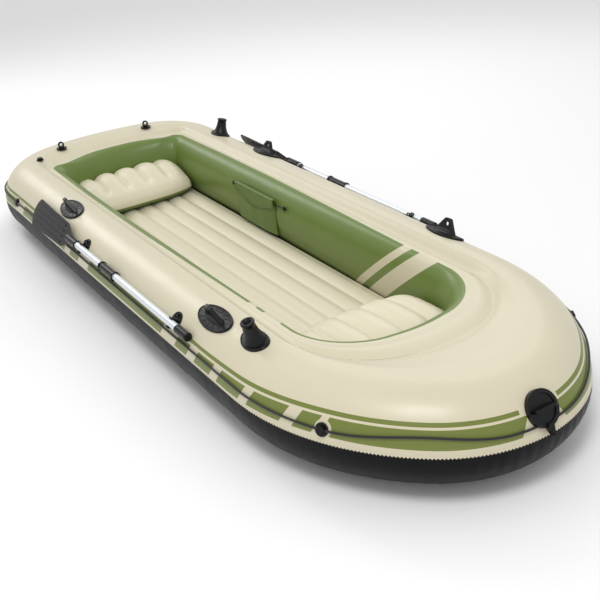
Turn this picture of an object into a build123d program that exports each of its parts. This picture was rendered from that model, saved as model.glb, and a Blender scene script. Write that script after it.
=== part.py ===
"""Inflatable rowing boat with two stowed oars, two seat cushions and its deck fittings.

Millimetres. The origin is on the ground under the middle of the hull, +X points to the
bow and +Z up. Starboard is the -Y side and port the +Y side.
"""

import math
import os

from build123d import *

os.makedirs("parts", exist_ok=True)

# ---------------------------------------------------------------- driving sizes
HULL_LENGTH = 3480.0
HULL_WIDTH = 1240.0
TUBE_HEIGHT = 350.0
GAP = 0.3  # between pieces that rest on each other
SHEET_GAP = 0.2  # along the welded edge of two sheets

# Each end of an outline has a side arc and a middle arc. Their radii are given as shares
# of that outline's half width, so the ends keep their shape when a width changes.
BOW_ROUND = (1.3871, 0.80645)
STERN_ROUND = (0.6774, 2.25806)
SHOULDER_RADIUS = 173.0
SEAM_HEIGHT = 200.0

# where the outer chamber meets the inner one
SIDE_DECK = 235.0
CREASE_BOW_TIP = 1310.0
CREASE_BOW_ROUND = (0.857, 1.2987)
CREASE_STERN_TIP = 1400.0
CREASE_STERN_ROUND = (0.4805, 3.026)
CREASE_RADIUS = 30.0

# the cockpit, inside the inner chamber
INNER_WALL = 85.0
COCKPIT_BOW_TIP = 1102.0
COCKPIT_BOW_ROUND = (0.7667, 2.1667)
COCKPIT_STERN_TIP = 1325.0
COCKPIT_STERN_ROUND = (0.2, 2.3333)
INNER_TOP = 318.0
INNER_ROUND = 60.0
INNER_CREASE_ROUND = 12.0

# bottom sheet and air floor
SHEET_BASE = 10.0
SHEET_THICKNESS = 6.0
SHEET_LAP = 25.0
SHEET_CLEARANCE = 1.0
FLOOR_TOP = 85.0
FLOOR_CHANNELS = 7
CHANNEL_DEPTH = 14.0
FLOOR_EDGE_GAP = 1.0

# seat cushions
SEAT_LOBES = 5
SEAT_SIDE_GAP = 15.0
SEAT_THICKNESS = 148.0
SEAT_EDGE_RADIUS = 62.0
LOBE_DEPTH = 20.0
SEAT_WALL_GAP = 4.0
STERN_SEAT_FRONT = -1015.0
BOW_SEAT_BACK = 720.0

# oarlocks
OARLOCK_X = (-640.0, 700.0)
OARLOCK_TILT = 23.0  # degrees of the deck's slope under them
OARLOCK_BASE = (200.0, 96.0)
OARLOCK_BASE_THICKNESS = 6.0
FIN_FOOT = 116.0
FIN_TOP = 26.0
FIN_HEIGHT = 64.0
FIN_THICKNESS = 14.0
FIN_TIP_RADIUS = 11.0
FIN_HOLE = (12.0, 9.0)
FIN_HOLE_HEIGHT = 42.0
FIN_SMALL_HOLE_RADIUS = 5.0
FIN_SMALL_HOLE = (26.0, 18.0)

# fishing-rod holders
ROD_HOLDERS = {"starboard_rod_holder": (930.0, -1), "port_rod_holder": (-1070.0, 1)}
ROD_TILT = 15.5
ROD_BASE = (132.0, 88.0)
ROD_BASE_THICKNESS = 6.0
ROD_FOOT_RADIUS = 32.0
ROD_TOP_RADIUS = 21.0
ROD_HEIGHT = 82.0
ROD_BORE_RADIUS = 15.0
ROD_BORE_DEPTH = 74.0

# stern deck fittings
STERN_RING_X = -1475.0
STERN_RING_Y = 245.0
RING_BASE_RADIUS = 27.0
RING_BASE_THICKNESS = 6.0
RING_BOSS_RADIUS = 14.0
RING_BOSS_HEIGHT = 14.0
RING_OUTER_RADIUS = 16.0
RING_HOLE_RADIUS = 9.0
RING_THICKNESS = 9.0
VALVE_X = -1380.0
VALVE_INBOARD = 222.0  # from the starboard side
VALVE_BASE_RADIUS = 18.0
VALVE_BASE_THICKNESS = 5.0
VALVE_CAP_RADIUS = 13.0
VALVE_CAP_HEIGHT = 8.0
VALVE_PLUG_RADIUS = 8.0
VALVE_PLUG_LENGTH = 3.5

# grab rope round the hull
ROPE_RADIUS = 4.0
ROPE_STANDOFF = 5.0  # rope centre above the hull
ROPE_ANGLE = 20.0  # above level, seen from the shoulder's centre
TUNNEL_RADIUS = 4.8
GROMMET_BASE_RADIUS = 22.0
GROMMET_BASE_THICKNESS = 4.0
GROMMET_DOME_RADIUS = 13.0
GROMMET_HEIGHT = 13.0
GROMMET_BOW_HEADING = 64.0  # degrees from straight ahead, round the bow
GROMMET_STERN_X = -1180.0

# towing handle on the bow
HANDLE_ANGLE = 34.0
HANDLE_RADIUS = 58.0
HANDLE_THICKNESS = 9.0
HANDLE_RECESS_RADIUS = 46.0
HANDLE_RECESS_DEPTH = 4.0
GRIP_LENGTH = 84.0
GRIP_HEIGHT = 34.0
GRIP_THICKNESS = 10.0
GRIP_HOLE = (52.0, 14.0)
GRIP_HOLE_HEIGHT = 16.0
GRIP_ROUND = 13.5
GRIP_HOLE_ROUND = 5.5
BEAK_HALF_WIDTH = 22.0
BEAK_REACH = 84.0
BEAK_THICKNESS = 18.0

# oars and their clips
OAR_ANGLE = 33.0
OAR_STANDOFF = 22.0
SHAFT_RADIUS = 14.0
SHAFT_WALL = 1.5
BLADE_TIP_X = -890.0
BLADE_ROOT_X = -440.0
BLADE_WIDTH = 130.0
BLADE_NECK_WIDTH = 104.0
BLADE_THICKNESS = 7.0
BLADE_RIBS = 4
RIB_WIDTH = 6.0
RIB_HEIGHT = 3.0
COLLAR_END_X = -362.0
COLLAR_RADIUS = 19.0
SHAFT_INSERT = 60.0
SLEEVE_X = (-92.0, 42.0)
SLEEVE_RADIUS = 17.5
SLEEVE_RING_RADIUS = 20.0
SLEEVE_RING_WIDTH = 9.0
SHAFT_BREAK = 2.0
FIXED_FIT = 0.1
SLIDING_FIT = 0.4
GRIP_CAP_X = (586.0, 668.0)
GRIP_CAP_RADIUS = 17.0
GRIP_CAP_ROUND = 6.0
PORT_OAR_SHIFT = -135.0
CLIP_X = (-323.0, 527.0)
CLIP_WIDTH = 18.0
CLIP_ARM = 5.0
CLIP_MOUTH_FIT = 1.0
CLIP_ARM_RISE = 8.0
CLIP_BASE = (60.0, 62.0)
CLIP_BASE_THICKNESS = 4.0
LOOP_TURN = 10.0  # degrees above the oar, round the shoulder
LOOP_RISE = 12.0
LOOP_RADIUS = 8.5
LOOP_HOLE_RADIUS = 4.5
LOOP_THICKNESS = 5.0

# storage pouch on the port wall of the cockpit
POUCH_X = (-575.0, -225.0)
POUCH_Z = (92.0, 262.0)
POUCH_DEPTH = 14.0
POUCH_WALL = 2.0
FLAP_THICKNESS = 2.5
FLAP_LIFT = 7.0  # free height of the pouch's mouth under the flap
FLAP_SIDE_DROP = 45.0
FLAP_TIP_DROP = 82.0
FLAP_TIP_HALF_WIDTH = 34.0
TIE_X = (-603.0, -145.0)
TIE_Z = 250.0
TIE_BASE_RADIUS = 11.0
TIE_BASE_THICKNESS = 4.0
TIE_KNOB_RADIUS = 7.0
TIE_KNOB_HEIGHT = 9.0
TIE_CORD_RADIUS = 2.5
TIE_CORD_DEPTH = 5.5  # from the wall to the cord's centre

SIDES = {"starboard": -1, "port": 1}
HALF_LENGTH = HULL_LENGTH / 2
HALF_WIDTH = HULL_WIDTH / 2
VALVE_Y = VALVE_INBOARD - HALF_WIDTH
CREASE_HALF_WIDTH = HALF_WIDTH - SIDE_DECK
COCKPIT_WIDTH = 2 * (CREASE_HALF_WIDTH - INNER_WALL)
SEAT_WIDTH = COCKPIT_WIDTH - 2 * SEAT_SIDE_GAP
SHOULDER_Z = TUBE_HEIGHT - SHOULDER_RADIUS
SHEET_TOP = SHEET_BASE + SHEET_THICKNESS
LOW_DECK = SHEET_TOP + SHEET_CLEARANCE  # underside of the air floor and the inner chamber


# ---------------------------------------------------------------- shared outlines
def end_radii(half_width, shares):
    """Side and middle radius of an end, from their shares of the half width."""
    return tuple(share * half_width for share in shares)


def end_centres(half_width, tip, radii):
    """X of an end's middle arc centre, X of its side arc centres, and where they meet."""
    side_radius, end_radius = radii
    offset = half_width - side_radius
    end_x = tip - end_radius
    reach = math.sqrt((end_radius - side_radius) ** 2 - offset**2)
    blunt = math.copysign(1.0, end_radius - side_radius)
    side_x = end_x + blunt * reach
    meeting = math.degrees(math.atan2(blunt * offset, blunt * (side_x - end_x)))
    return end_x, side_x, meeting


def boat_outline(half_width, bow_tip, bow_round, stern_tip, stern_round, inset=0.0):
    """Closed outline of straight sides and tangent arcs, moved inward by inset."""
    sides = []
    for ahead, tip, shares in ((1, bow_tip, bow_round), (-1, stern_tip, stern_round)):
        radii = end_radii(half_width, shares)
        end_x, side_x, meeting = end_centres(half_width, tip, radii)
        start = -meeting if ahead > 0 else 180 - meeting
        CenterArc((ahead * end_x, 0), radii[1] - inset, start, 2 * meeting)
        for side in (1, -1):
            centre = (ahead * side_x, side * (half_width - radii[0]))
            low = meeting if side * ahead > 0 else -90
            start = low if ahead > 0 else low + 180
            CenterArc(centre, radii[0] - inset, start, 90 - meeting)
        sides.append(ahead * side_x)
    for side in (1, -1):
        y = side * (half_width - inset)
        Line((sides[0], y), (sides[1], y))


def hull_outline(inset=0.0):
    boat_outline(HALF_WIDTH, HALF_LENGTH, BOW_ROUND, HALF_LENGTH, STERN_ROUND, inset)


def crease_outline(inset=0.0):
    boat_outline(
        CREASE_HALF_WIDTH,
        CREASE_BOW_TIP,
        CREASE_BOW_ROUND,
        CREASE_STERN_TIP,
        CREASE_STERN_ROUND,
        inset,
    )


def cockpit_outline(inset=0.0):
    boat_outline(
        COCKPIT_WIDTH / 2,
        COCKPIT_BOW_TIP,
        COCKPIT_BOW_ROUND,
        COCKPIT_STERN_TIP,
        COCKPIT_STERN_ROUND,
        inset,
    )


def outer_ring(grow=0.0):
    """The whole outer chamber, every face moved outward by grow."""
    with BuildPart() as ring:
        with BuildSketch(Plane.XY.offset(-grow)):
            with BuildLine():
                hull_outline(-grow)
            make_face()
            with BuildLine():
                crease_outline(grow)
            make_face(mode=Mode.SUBTRACT)
        extrude(amount=TUBE_HEIGHT + 2 * grow)
        for end in (-1, 0):
            rim = ring.faces().filter_by(Axis.Z).sort_by(Axis.Z)[end]
            fillet(rim.outer_wire().edges(), SHOULDER_RADIUS + grow)
        for end in (-1, 0):
            rim = ring.faces().filter_by(Axis.Z).sort_by(Axis.Z)[end]
            fillet(rim.inner_wires()[0].edges(), CREASE_RADIUS + grow)
    return ring.part


def shoulder_plane(x, side, tilt):
    """Plane lying on a straight side's shoulder, tilt degrees out from the deck."""
    angle = math.radians(tilt)
    normal = (0, side * math.sin(angle), math.cos(angle))
    centre_y = side * (HALF_WIDTH - SHOULDER_RADIUS)
    origin = (
        x,
        centre_y + SHOULDER_RADIUS * normal[1],
        SHOULDER_Z + SHOULDER_RADIUS * normal[2],
    )
    return Plane(origin=origin, x_dir=(1, 0, 0), z_dir=normal)


def shoulder_axis_plane(x, side):
    """Cross-section plane with its origin at the shoulder's centre of curvature."""
    origin = (x, side * (HALF_WIDTH - SHOULDER_RADIUS), SHOULDER_Z)
    return Plane(origin=origin, x_dir=(0, 1, 0), z_dir=(1, 0, 0))


def curved_base(x, side, tilt, size, thickness):
    """Oval base plate bent round the shoulder of a straight side."""
    with BuildPart() as base:
        with BuildSketch(shoulder_axis_plane(x, side)):
            Circle(SHOULDER_RADIUS + GAP + thickness)
            Circle(SHOULDER_RADIUS + GAP, mode=Mode.SUBTRACT)
        extrude(amount=size[0], both=True)
        with BuildSketch(shoulder_plane(x, side, tilt).offset(-SHOULDER_RADIUS / 2)):
            Ellipse(size[0] / 2, size[1] / 2)
        extrude(amount=SHOULDER_RADIUS, mode=Mode.INTERSECT)
    return base.part


def save(part, name):
    part.label = name
    export_step(part, f"parts/{name}.step")
    print(f"{name}: {part.volume / 1000:.1f} cm3, {len(part.solids())} solids")


hull_block = outer_ring()
hull_clearance = outer_ring(GAP)

# ---------------------------------------------------------------- hull
with BuildPart() as outer_chamber:
    add(hull_block)
    split(bisect_by=Plane.XY.offset(SEAM_HEIGHT + SHEET_GAP / 2), keep=Keep.TOP)
save(outer_chamber.part, "outer_chamber")

with BuildPart() as underside:
    add(hull_block)
    split(bisect_by=Plane.XY.offset(SEAM_HEIGHT - SHEET_GAP / 2), keep=Keep.BOTTOM)
    with BuildSketch(Plane.XY.offset(SHEET_BASE)):
        with BuildLine():
            crease_outline(-SHEET_LAP)
        make_face()
    extrude(amount=SHEET_THICKNESS)
save(underside.part, "underside")

with BuildPart() as inner_chamber:
    with BuildSketch(Plane.XY.offset(LOW_DECK)):
        with BuildLine():
            crease_outline(GAP)
        make_face()
        with BuildLine():
            cockpit_outline()
        make_face(mode=Mode.SUBTRACT)
    extrude(amount=INNER_TOP - LOW_DECK)
    for end in (-1, 0):
        rim = inner_chamber.faces().filter_by(Axis.Z).sort_by(Axis.Z)[end]
        fillet(rim.inner_wires()[0].edges(), INNER_ROUND)
    rim = inner_chamber.faces().filter_by(Axis.Z).sort_by(Axis.Z)[-1]
    fillet(rim.outer_wire().edges(), INNER_CREASE_ROUND)
save(inner_chamber.part, "inner_chamber")

with BuildPart() as floor:
    with BuildSketch(Plane.XY.offset(LOW_DECK)):
        with BuildLine():
            cockpit_outline(FLOOR_EDGE_GAP)
        make_face()
    extrude(amount=FLOOR_TOP - LOW_DECK)
    pitch = COCKPIT_WIDTH / FLOOR_CHANNELS
    with BuildSketch(Plane.YZ.offset(-HALF_LENGTH)):
        with BuildLine():
            valley = FLOOR_TOP - CHANNEL_DEPTH
            for channel in range(FLOOR_CHANNELS):
                left = -COCKPIT_WIDTH / 2 + channel * pitch
                right = left + pitch
                ThreePointArc((left, valley), (left + pitch / 2, FLOOR_TOP), (right, valley))
            half = COCKPIT_WIDTH / 2
            Polyline((half, valley), (half, LOW_DECK), (-half, LOW_DECK), (-half, valley))
        make_face()
    extrude(amount=HULL_LENGTH, mode=Mode.INTERSECT)
save(floor.part, "floor")


# ---------------------------------------------------------------- seat cushions
def seat_cushion(back, front):
    """Cushion of side-by-side lobes lying on the floor between back and front."""
    base = FLOOR_TOP + GAP
    top = base + SEAT_THICKNESS
    valley = top - LOBE_DEPTH
    pitch = SEAT_WIDTH / SEAT_LOBES
    with BuildPart() as cushion:
        with BuildSketch(Plane.XY.offset(base)):
            with BuildLine():
                cockpit_outline(SEAT_WALL_GAP)
            make_face()
        extrude(amount=SEAT_THICKNESS)
        with BuildSketch(Plane.YZ.offset(back)):
            with BuildLine():
                for lobe in range(SEAT_LOBES):
                    left = -SEAT_WIDTH / 2 + lobe * pitch
                    right = left + pitch
                    ThreePointArc((left, valley), (left + pitch / 2, top), (right, valley))
                half = SEAT_WIDTH / 2
                Polyline((half, valley), (half, base), (-half, base), (-half, valley))
            make_face()
        extrude(amount=front - back, mode=Mode.INTERSECT)
        side_view = Plane(
            origin=((front + back) / 2, HALF_WIDTH, base + SEAT_THICKNESS / 2),
            x_dir=(1, 0, 0),
            z_dir=(0, -1, 0),
        )
        with BuildSketch(side_view):
            RectangleRounded(front - back, SEAT_THICKNESS, SEAT_EDGE_RADIUS)
        extrude(amount=HULL_WIDTH, mode=Mode.INTERSECT)
    return cushion.part


save(seat_cushion(SEAT_WALL_GAP - COCKPIT_STERN_TIP, STERN_SEAT_FRONT), "stern_seat")
save(seat_cushion(BOW_SEAT_BACK, COCKPIT_BOW_TIP - SEAT_WALL_GAP), "bow_seat")

# ---------------------------------------------------------------- oarlocks
for side_name, side in SIDES.items():
    for end_name, x in zip(("aft", "fore"), OARLOCK_X):
        base = curved_base(x, side, OARLOCK_TILT, OARLOCK_BASE, OARLOCK_BASE_THICKNESS)
        deck = shoulder_plane(x, side, OARLOCK_TILT)
        upright = Plane(origin=deck.origin, x_dir=(1, 0, 0), z_dir=deck.y_dir)
        rise = -1 if upright.y_dir.dot(deck.z_dir) < 0 else 1
        foot = GAP + OARLOCK_BASE_THICKNESS / 2
        with BuildPart() as oarlock:
            add(base)
            with BuildSketch(upright):
                with BuildLine():
                    Polyline(
                        (-FIN_FOOT / 2, rise * foot),
                        (FIN_FOOT / 2, rise * foot),
                        (FIN_TOP / 2, rise * FIN_HEIGHT),
                        (-FIN_TOP / 2, rise * FIN_HEIGHT),
                        close=True,
                    )
                make_face()
                fillet(vertices().sort_by(lambda v: rise * v.Y)[-2:], FIN_TIP_RADIUS)
                with Locations((0, rise * FIN_HOLE_HEIGHT)):
                    Ellipse(*FIN_HOLE, mode=Mode.SUBTRACT)
                for hand in (-1, 1):
                    with Locations((hand * FIN_SMALL_HOLE[0], rise * FIN_SMALL_HOLE[1])):
                        Circle(FIN_SMALL_HOLE_RADIUS, mode=Mode.SUBTRACT)
            extrude(amount=FIN_THICKNESS / 2, both=True)
        save(oarlock.part, f"{side_name}_{end_name}_oarlock")

# ---------------------------------------------------------------- rod holders
for name, (x, side) in ROD_HOLDERS.items():
    base = curved_base(x, side, ROD_TILT, ROD_BASE, ROD_BASE_THICKNESS)
    deck = shoulder_plane(x, side, ROD_TILT)
    with BuildPart() as rod_holder:
        add(base)
        with BuildSketch(deck.offset(GAP + ROD_BASE_THICKNESS / 2)):
            Circle(ROD_FOOT_RADIUS)
        with BuildSketch(deck.offset(ROD_HEIGHT)):
            Circle(ROD_TOP_RADIUS)
        loft()
        with BuildSketch(deck.offset(ROD_HEIGHT)):
            Circle(ROD_BORE_RADIUS)
        extrude(amount=-ROD_BORE_DEPTH, mode=Mode.SUBTRACT)
    save(rod_holder.part, name)

# ---------------------------------------------------------------- stern deck fittings
for side_name, side in SIDES.items():
    deck = Plane.XY.offset(TUBE_HEIGHT + GAP)
    centre = (STERN_RING_X, side * STERN_RING_Y)
    ring_z = TUBE_HEIGHT + GAP + RING_BOSS_HEIGHT + RING_HOLE_RADIUS
    with BuildPart() as stern_ring:
        with BuildSketch(deck):
            with Locations(centre):
                Circle(RING_BASE_RADIUS)
        extrude(amount=RING_BASE_THICKNESS)
        with BuildSketch(deck):
            with Locations(centre):
                Circle(RING_BOSS_RADIUS)
        extrude(amount=RING_BOSS_HEIGHT)
        with BuildSketch(Plane.YZ.offset(STERN_RING_X)):
            with Locations((centre[1], ring_z)):
                Circle(RING_OUTER_RADIUS)
        extrude(amount=RING_THICKNESS / 2, both=True)
        with BuildSketch(Plane.YZ.offset(STERN_RING_X)):
            with Locations((centre[1], ring_z)):
                Circle(RING_HOLE_RADIUS)
        extrude(amount=RING_BOSS_RADIUS, both=True, mode=Mode.SUBTRACT)
    save(stern_ring.part, f"{side_name}_stern_ring")

with BuildPart() as hull_valve:
    with BuildSketch(Plane.XY.offset(TUBE_HEIGHT + GAP)):
        with Locations((VALVE_X, VALVE_Y)):
            Circle(VALVE_BASE_RADIUS)
            Circle(VALVE_PLUG_RADIUS + SLIDING_FIT, mode=Mode.SUBTRACT)
    extrude(amount=VALVE_BASE_THICKNESS)
save(hull_valve.part, "hull_valve")

with BuildPart() as valve_cap:
    with BuildSketch(Plane.XY.offset(TUBE_HEIGHT + VALVE_BASE_THICKNESS + 2 * GAP)):
        with Locations((VALVE_X, VALVE_Y)):
            Circle(VALVE_CAP_RADIUS)
    extrude(amount=VALVE_CAP_HEIGHT)
    with BuildSketch(Plane.XY.offset(TUBE_HEIGHT + VALVE_BASE_THICKNESS + 2 * GAP)):
        with Locations((VALVE_X, VALVE_Y)):
            Circle(VALVE_PLUG_RADIUS)
    extrude(amount=-VALVE_PLUG_LENGTH)
save(valve_cap.part, "valve_cap")

# ---------------------------------------------------------------- grab rope
rope_rise = (SHOULDER_RADIUS + ROPE_STANDOFF) * math.sin(math.radians(ROPE_ANGLE))
rope_reach = (SHOULDER_RADIUS + ROPE_STANDOFF) * math.cos(math.radians(ROPE_ANGLE))
ROPE_Z = SHOULDER_Z + rope_rise
ROPE_INSET = SHOULDER_RADIUS - rope_reach


def rope_loop(radius):
    """Round cord laid the whole way round the hull."""
    with BuildPart() as loop:
        with BuildLine(Plane.XY.offset(ROPE_Z)) as route:
            hull_outline(ROPE_INSET)
        start = HALF_WIDTH - ROPE_INSET
        with BuildSketch(Plane(origin=(0, start, ROPE_Z), x_dir=(0, 1, 0), z_dir=(1, 0, 0))):
            Circle(radius)
        sweep(path=route.wire())
    return loop.part


grab_rope = rope_loop(ROPE_RADIUS)
rope_tunnel = rope_loop(TUNNEL_RADIUS)
save(grab_rope, "grab_rope")


def hull_side_plane(x, y, heading, lift):
    """Plane on the shoulder, facing heading degrees from the bow and lift degrees up."""
    turn, rise = math.radians(heading), math.radians(lift)
    out = (math.cos(turn), math.sin(turn))
    normal = (out[0] * math.cos(rise), out[1] * math.cos(rise), math.sin(rise))
    centre = (x - out[0] * SHOULDER_RADIUS, y - out[1] * SHOULDER_RADIUS, SHOULDER_Z)
    origin = tuple(c + SHOULDER_RADIUS * n for c, n in zip(centre, normal))
    return Plane(origin=origin, x_dir=(-out[1], out[0], 0), z_dir=normal)


def bow_point(heading):
    """Point of the hull's outline, on the port bow, that faces heading degrees outward."""
    radii = end_radii(HALF_WIDTH, BOW_ROUND)
    end_x, side_x, meeting = end_centres(HALF_WIDTH, HALF_LENGTH, radii)
    centre, radius = (end_x, 0.0), radii[1]
    if heading > meeting:
        centre, radius = (side_x, HALF_WIDTH - radii[0]), radii[0]
    turn = math.radians(heading)
    return centre[0] + radius * math.cos(turn), centre[1] + radius * math.sin(turn)


bow_x, bow_y = bow_point(GROMMET_BOW_HEADING)

with BuildPart() as rope_grommets:
    for side in SIDES.values():
        spots = (
            hull_side_plane(bow_x, side * bow_y, side * GROMMET_BOW_HEADING, ROPE_ANGLE),
            hull_side_plane(GROMMET_STERN_X, side * HALF_WIDTH, side * 90, ROPE_ANGLE),
        )
        for spot in spots:
            with BuildSketch(spot.offset(-GROMMET_BASE_THICKNESS)):
                Circle(GROMMET_BASE_RADIUS)
            extrude(amount=2 * GROMMET_BASE_THICKNESS)
            with BuildSketch(spot):
                Circle(GROMMET_DOME_RADIUS)
            extrude(amount=GROMMET_HEIGHT)
    add(hull_clearance, mode=Mode.SUBTRACT)
    add(rope_tunnel, mode=Mode.SUBTRACT)
save(rope_grommets.part, "rope_grommets")

# ---------------------------------------------------------------- bow handle
handle_plane = hull_side_plane(HALF_LENGTH, 0, 0, HANDLE_ANGLE)
grip_plane = Plane(
    origin=handle_plane.origin, x_dir=handle_plane.x_dir, z_dir=handle_plane.y_dir
)
grip_rise = 1 if grip_plane.y_dir.dot(handle_plane.z_dir) > 0 else -1
beak_down = -1 if handle_plane.y_dir.Z > 0 else 1

with BuildPart() as bow_handle:
    with BuildSketch(handle_plane.offset(-HANDLE_THICKNESS)):
        Circle(HANDLE_RADIUS)
        with BuildLine():
            Polyline(
                (-BEAK_HALF_WIDTH, 0),
                (0, beak_down * BEAK_REACH),
                (BEAK_HALF_WIDTH, 0),
                close=True,
            )
        make_face()
    extrude(amount=2 * HANDLE_THICKNESS)
    with BuildSketch(handle_plane.offset(HANDLE_THICKNESS)):
        Circle(HANDLE_RECESS_RADIUS)
    extrude(amount=-HANDLE_RECESS_DEPTH, mode=Mode.SUBTRACT)
    with BuildSketch(grip_plane):
        with Locations((0, grip_rise * GRIP_HEIGHT / 2)):
            RectangleRounded(GRIP_LENGTH, GRIP_HEIGHT, GRIP_ROUND)
        with Locations((0, grip_rise * GRIP_HOLE_HEIGHT)):
            RectangleRounded(*GRIP_HOLE, GRIP_HOLE_ROUND, mode=Mode.SUBTRACT)
    extrude(amount=GRIP_THICKNESS / 2, both=True)
    with BuildSketch(handle_plane):
        with BuildLine():
            Polyline(
                (-BEAK_HALF_WIDTH / 2, beak_down * HANDLE_RECESS_RADIUS),
                (0, beak_down * BEAK_REACH),
                (BEAK_HALF_WIDTH / 2, beak_down * HANDLE_RECESS_RADIUS),
                close=True,
            )
        make_face()
    extrude(amount=BEAK_THICKNESS)
    add(hull_clearance, mode=Mode.SUBTRACT)
    add(rope_tunnel, mode=Mode.SUBTRACT)
save(bow_handle.part, "bow_handle")


# ---------------------------------------------------------------- oars
def oar_plane(x, side):
    """Cross-section plane of a stowed oar: its Y points away from the hull."""
    angle = math.radians(OAR_ANGLE)
    away = (0, side * math.cos(angle), math.sin(angle))
    reach = SHOULDER_RADIUS + OAR_STANDOFF
    origin = (
        x,
        side * (HALF_WIDTH - SHOULDER_RADIUS) + reach * away[1],
        SHOULDER_Z + reach * away[2],
    )
    across = Vector(*away).cross(Vector(1, 0, 0))
    return Plane(origin=origin, x_dir=across, z_dir=(1, 0, 0))


def pipe(side, start, end, radius, bore):
    """Round tube along the oar from start to end."""
    with BuildPart() as tube:
        with BuildSketch(oar_plane(start, side)):
            Circle(radius)
            Circle(bore, mode=Mode.SUBTRACT)
        extrude(amount=end - start)
    return tube.part


def oar_blade(side, shift):
    """Ribbed blade with the collar that takes the shaft."""
    tip, root = BLADE_TIP_X + shift, BLADE_ROOT_X + shift
    half = BLADE_WIDTH / 2
    neck = BLADE_NECK_WIDTH / 2
    section = oar_plane(tip, side)
    flat = Plane(origin=section.origin, x_dir=(1, 0, 0), z_dir=section.y_dir)
    length = root - tip
    shoulder = length - half
    with BuildPart() as blade:
        with BuildSketch(flat):
            with BuildLine():
                ThreePointArc((half / 2, -half), (0, 0), (half / 2, half))
                Line((half / 2, half), (shoulder, neck))
                Line((half / 2, -half), (shoulder, -neck))
                Line((shoulder, neck), (length, COLLAR_RADIUS))
                Line((shoulder, -neck), (length, -COLLAR_RADIUS))
                Line((length, COLLAR_RADIUS), (length, -COLLAR_RADIUS))
            make_face()
        extrude(amount=BLADE_THICKNESS / 2, both=True)
        with BuildSketch(flat.offset(BLADE_THICKNESS / 2)):
            for rib in range(BLADE_RIBS):
                y = (rib - (BLADE_RIBS - 1) / 2) * BLADE_WIDTH / (BLADE_RIBS + 1)
                with Locations(((half / 2 + shoulder) / 2, y)):
                    Rectangle(shoulder - half, RIB_WIDTH)
        extrude(amount=RIB_HEIGHT)
        with BuildSketch(oar_plane(root - COLLAR_RADIUS, side)):
            Circle(COLLAR_RADIUS)
        extrude(amount=COLLAR_END_X + shift - root + COLLAR_RADIUS)
        with BuildSketch(oar_plane(COLLAR_END_X + shift - SHAFT_INSERT, side)):
            Circle(SHAFT_RADIUS + FIXED_FIT)
        extrude(amount=SHAFT_INSERT, mode=Mode.SUBTRACT)
    return blade.part


def joint_sleeve(side, shift):
    """Plastic sleeve joining the two halves of the shaft, with a ring at each mouth."""
    start, end = SLEEVE_X[0] + shift, SLEEVE_X[1] + shift
    middle = (start + end) / 2
    with BuildPart() as sleeve:
        with BuildSketch(oar_plane(start, side)):
            Circle(SLEEVE_RADIUS)
        extrude(amount=end - start)
        for mouth in (start, end - SLEEVE_RING_WIDTH):
            with BuildSketch(oar_plane(mouth, side)):
                Circle(SLEEVE_RING_RADIUS)
            extrude(amount=SLEEVE_RING_WIDTH)
        with BuildSketch(oar_plane(start, side)):
            Circle(SHAFT_RADIUS + FIXED_FIT)
        extrude(amount=middle - start, mode=Mode.SUBTRACT)
        with BuildSketch(oar_plane(middle, side)):
            Circle(SHAFT_RADIUS + SLIDING_FIT)
        extrude(amount=end - middle, mode=Mode.SUBTRACT)
    return sleeve.part


def grip_cap(side, shift):
    """Closed end cap on the inboard end of the shaft."""
    start, end = GRIP_CAP_X[0] + shift, GRIP_CAP_X[1] + shift
    with BuildPart() as cap:
        with BuildSketch(oar_plane(start, side)):
            Circle(GRIP_CAP_RADIUS)
        extrude(amount=end - start)
        fillet(cap.faces().sort_by(Axis.X)[-1].edges(), GRIP_CAP_ROUND)
        with BuildSketch(oar_plane(start, side)):
            Circle(SHAFT_RADIUS + FIXED_FIT)
        extrude(amount=SHAFT_INSERT, mode=Mode.SUBTRACT)
    return cap.part


for side_name, side in SIDES.items():
    shift = PORT_OAR_SHIFT if side > 0 else 0.0
    bore = SHAFT_RADIUS - SHAFT_WALL
    middle = sum(SLEEVE_X) / 2 + shift
    lower_start = COLLAR_END_X - SHAFT_INSERT + FIXED_FIT + shift
    upper_end = GRIP_CAP_X[0] + SHAFT_INSERT - FIXED_FIT + shift
    lower_shaft = pipe(side, lower_start, middle - SHAFT_BREAK, SHAFT_RADIUS, bore)
    upper_shaft = pipe(side, middle + SHAFT_BREAK, upper_end, SHAFT_RADIUS, bore)
    save(oar_blade(side, shift), f"{side_name}_oar_blade")
    save(lower_shaft, f"{side_name}_oar_lower_shaft")
    save(joint_sleeve(side, shift), f"{side_name}_oar_joint_sleeve")
    save(upper_shaft, f"{side_name}_oar_upper_shaft")
    save(grip_cap(side, shift), f"{side_name}_oar_grip_cap")

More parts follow.
